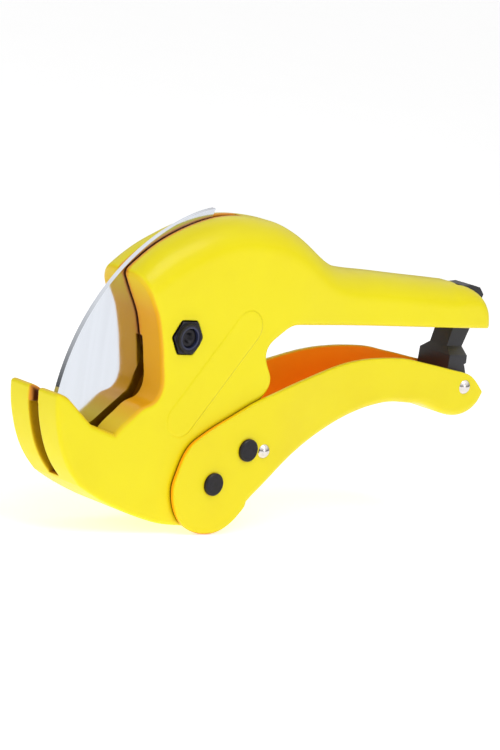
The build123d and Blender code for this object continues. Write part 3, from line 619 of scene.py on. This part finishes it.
def powder_coat(name, shade, main, light, cavity_shade, crease_shade, painted_glow, pad=False):
    """Glossy powder coat: slight colour clouding and a fine orange peel, with painted shade
    and a painted orange glow.

    inner is the pair of colours of the painted shade in hollows, crease the colour of the
    painted shade in gaps, and bounce the strength of the painted orange glow in hollows.
    """
    shader = Shader(name)
    tree = shader.tree
    cloud = shader.noise(scale=28, detail=3, rough=0.55)
    colour = shader.ramp(cloud, [(0.25, shade), (0.5, main), (0.8, light)])
    # painted shade: orange colours on the walls of hollows and on the rims of the ears
    cavity_shade_mask = shader.attribute("cavity_shade")
    cavity_shade_colour = shader.ramp(cloud, [(0.25, cavity_shade[0]), (0.8, cavity_shade[1])])
    colour = shader.mix(cavity_shade_mask, colour, cavity_shade_colour)
    # painted shade: darker colour in gaps and creases, where ambient occlusion finds nearby
    # surfaces, and further down the blade slot
    occlusion = add_node(tree, "AmbientOcclusion", {"Distance": 0.0030}, samples=6)
    gap = map_range(tree, occlusion.outputs["AO"], (0.18, 0.72), (1.0, 0.0))
    dark = math_node(tree, "MAXIMUM", gap, shader.attribute("slot_shade"))
    peel = shader.bump(shader.noise(scale=420, rough=0.6), strength=0.10, distance=0.00025)
    normal = shader.bump(shader.noise(scale=1900), strength=0.05, distance=0.00006, normal=peel)
    if pad:
        normal = shader.bump(pad_mask(shader), strength=0.7, distance=0.00035, normal=normal)
    shader.surface({
        "Base Color": shader.mix(dark, colour, crease_shade),
        # painted glow: the walls of hollows give off orange light, standing in for light that
        # has gone from wall to wall
        "Emission Color": srgb(255, 112, 20),
        "Emission Strength": math_node(tree, "MULTIPLY", cavity_shade_mask, painted_glow),
        "Roughness": shader.spread(shader.noise(scale=160), 0.34, 0.42),
        "Coat Weight": 0.09,
        "Coat Roughness": 0.16,
        "Specular IOR Level": 0.27,
        "Normal": normal})
    return shader.material


def steel(name, colour, rough, stretch=(1, 1, 1), strength=0.12, scale=40):
    """Bare metal with a grain, which stretch can draw out into lines."""
    shader = Shader(name)
    grain = shader.noise(scale, detail=4, rough=0.6, stretch=stretch)
    dark = tuple(c * 0.86 for c in colour[:3]) + (1,)
    shader.surface({
        "Metallic": 1,
        "Base Color": shader.ramp(grain, [(0.3, dark), (0.7, colour)]),
        "Roughness": shader.spread(grain, rough * 0.8, rough * 1.3),
        "Normal": shader.bump(grain, strength, distance=0.00003)})
    return shader.material


def blade_steel():
    """Near-mirror steel with faint lines along Z."""
    shader = Shader("blade_mirror_steel")
    lines = shader.noise(scale=260, detail=3, rough=0.6, stretch=(1, 1, 0.03))
    stops = [(0.3, srgb(202, 206, 213)), (0.7, srgb(207, 211, 218))]
    shader.surface({
        "Metallic": 1,
        "Base Color": shader.ramp(lines, stops),
        "Roughness": shader.spread(shader.noise(scale=50, detail=3), 0.06, 0.11),
        "Anisotropic": 0.25,
        "Normal": shader.bump(lines, strength=0.015, distance=0.00001)})
    return shader.material


def black_oxide():
    shader = Shader("black_oxide")
    grain = shader.noise(scale=900, detail=4, rough=0.6)
    stops = [(0.3, srgb(15, 13, 17)), (0.75, srgb(37, 34, 43))]
    shader.surface({
        "Base Color": shader.ramp(grain, stops),
        "Metallic": 0.45,
        "Roughness": shader.spread(grain, 0.34, 0.50),
        "Normal": shader.bump(grain, strength=0.15, distance=0.00004,
                              normal=shader.soft_edges(0.00035))})
    return shader.material


def plastic(name, base, light, rough, grain_scale):
    shader = Shader(name)
    grain = shader.noise(grain_scale, detail=3, rough=0.55)
    shader.surface({
        "Base Color": shader.ramp(shader.noise(scale=60), [(0.3, base), (0.75, light)]),
        "Roughness": shader.spread(grain, rough * 0.9, rough * 1.15),
        "Normal": shader.bump(grain, strength=0.35, distance=0.00005,
                              normal=shader.soft_edges(0.0004))})
    return shader.material


# the colours for hollows and for gaps are painted shade, and the last number sets a painted
# orange glow
yellow_cast = powder_coat(
    "yellow_cast_coat", shade=srgb(234, 217, 5), main=srgb(237, 222, 6),
    light=srgb(239, 225, 9), cavity_shade=(srgb(226, 140, 12), srgb(232, 152, 14)),
    crease_shade=srgb(36, 13, 2), painted_glow=0.04, pad=True)
yellow_sheet = powder_coat(
    "yellow_sheet_coat", shade=srgb(233, 214, 6), main=srgb(236, 219, 7),
    light=srgb(238, 222, 10), cavity_shade=(srgb(255, 168, 16), srgb(255, 178, 20)),
    crease_shade=srgb(206, 96, 8), painted_glow=0.12)


def dress(ob, material):
    ob.data.materials.clear()
    ob.data.materials.append(material)


dress(body, yellow_cast)
dress(handle, yellow_sheet)

MATERIALS = {
    "polished_blade": blade_steel(),
    "black_steel": black_oxide(),
    "bronze": steel("sintered_bronze", srgb(176, 134, 78), rough=0.38, strength=0.3, scale=900),
    "zinc": steel("zinc_plate", srgb(190, 190, 188), rough=0.30, strength=0.2, scale=500),
    "nylon_blue": plastic("nylon_ring", srgb(34, 38, 66), srgb(52, 56, 88), rough=0.42,
                          grain_scale=1500),
    "spring_steel": steel("spring_wire", srgb(150, 150, 152), rough=0.28, strength=0.15,
                          scale=900),
    "bright_rivet": steel("bright_rivet_plate", srgb(222, 216, 214), rough=0.14, strength=0.05,
                          scale=300),
    "hardened_steel": steel("hardened_oiled", srgb(108, 104, 100), rough=0.34,
                            stretch=(1, 1, 30), strength=0.2, scale=90),
    "black_plastic": plastic("latch_plastic", srgb(25, 24, 28), srgb(39, 38, 45), rough=0.44,
                             grain_scale=2200),
    "yellow_cast": yellow_cast,
    "yellow_sheet": yellow_sheet,
}
slots = {s["node"]: s["material_slot"] for s in frame["record"]["subparts"]}
for name, ob in frame["nodes"].items():
    dress(ob, MATERIALS[slots[name]])

# ---------------------------------------------------------------- floor
FLOOR_HALF, FLOOR_GAP = 6.0, 0.0003  # metres; the gap is below the lowest point

scene = bpy.context.scene
floor_z = cad_box[0][2] - FLOOR_GAP
floor_mesh = bpy.data.meshes.new("floor")
floor_mesh.from_pydata([(x * FLOOR_HALF, y * FLOOR_HALF, floor_z)
                        for x, y in ((-1, -1), (1, -1), (1, 1), (-1, 1))], [], [(0, 1, 2, 3)])
floor = bpy.data.objects.new("floor", floor_mesh)
scene.collection.objects.link(floor)
pale = Shader("pale_floor")
pale.surface({
    "Base Color": pale.ramp(pale.noise(scale=9),
                            [(0.2, srgb(250, 250, 250)), (0.8, srgb(252, 252, 252))]),
    "Roughness": 0.9,
    "Specular IOR Level": 0.1,
    "Emission Color": (1, 1, 1, 1),
    "Emission Strength": 0.55})
floor.data.materials.append(pale.material)

# ---------------------------------------------------------------- world
world = bpy.data.worlds.new("studio")
scene.world = world
world.use_nodes = True
tree = world.node_tree
rays = add_node(tree, "LightPath").outputs
# plain white to the camera, dimmer as a source of light
level = map_range(tree, rays["Is Camera Ray"], (0.0, 1.0), (0.42, 1.0))
# what shiny parts mirror: bright overhead, dimmer towards the horizon
direction = add_node(tree, "TexCoord").outputs["Generated"]
up = add_node(tree, "SeparateXYZ", {0: direction}).outputs["Z"]
sky = map_range(tree, up, (0.02, 0.6), (-0.32, 0.78))
shine = map_range(tree, rays["Is Glossy Ray"], (0.0, 1.0), (0.0, sky))
feed(tree, tree.nodes["Background"], {0: (1, 1, 1, 1), 1: math_node(tree, "ADD", level, shine)})
scene.view_settings.view_transform = "Standard"

# ---------------------------------------------------------------- lights and camera
CAM_PLACE = Vector((-0.936301, -1.08968, 0.219956))
CAM_BACK = Vector((-0.662494, -0.731794, 0.159933))
CAM_BACK.normalize()
CAM_UP = CAM_BACK.cross(Vector((0.749, -0.644298, 0.154532))).normalized()
CAM_RIGHT = CAM_UP.cross(CAM_BACK).normalized()
LIT_CENTRE = Vector((0.05, 0, -0.01))


def area(name, direction, distance, size, level):
    """A soft round lamp aimed at the tool, placed along a direction given in the camera's
    right, up and back. level is what a white face turned to it would show."""
    toward = (CAM_RIGHT * direction[0] + CAM_UP * direction[1]
              + CAM_BACK * direction[2]).normalized()
    lamp = bpy.data.lights.new(name, "AREA")
    lamp.shape = "DISK"
    lamp.size = size
    lamp.energy = level * math.pi**2 * distance**2
    ob = bpy.data.objects.new(name, lamp)
    ob.location = LIT_CENTRE + toward * distance
    ob.rotation_euler = (-toward).to_track_quat("-Z", "Y").to_euler()
    scene.collection.objects.link(ob)


area("key", direction=(0.5, 0.8, 0.6), distance=1.3, size=0.8, level=0.315)
area("fill", direction=(-0.6, 0.25, 0.77), distance=1.6, size=0.9, level=0.16)
area("side", direction=(0.7, -0.02, 0.7), distance=1.6, size=0.9, level=0.10)

lens = bpy.data.cameras.new("photo_view")
lens.sensor_width = 36
lens.lens = 174.946
lens.clip_start = 0.05
lens.clip_end = 20
camera = bpy.data.objects.new("photo_view", lens)
placement = Matrix((CAM_RIGHT, CAM_UP, CAM_BACK)).transposed().to_4x4()
placement.translation = CAM_PLACE
camera.matrix_world = placement
scene.collection.objects.link(camera)
scene.camera = camera
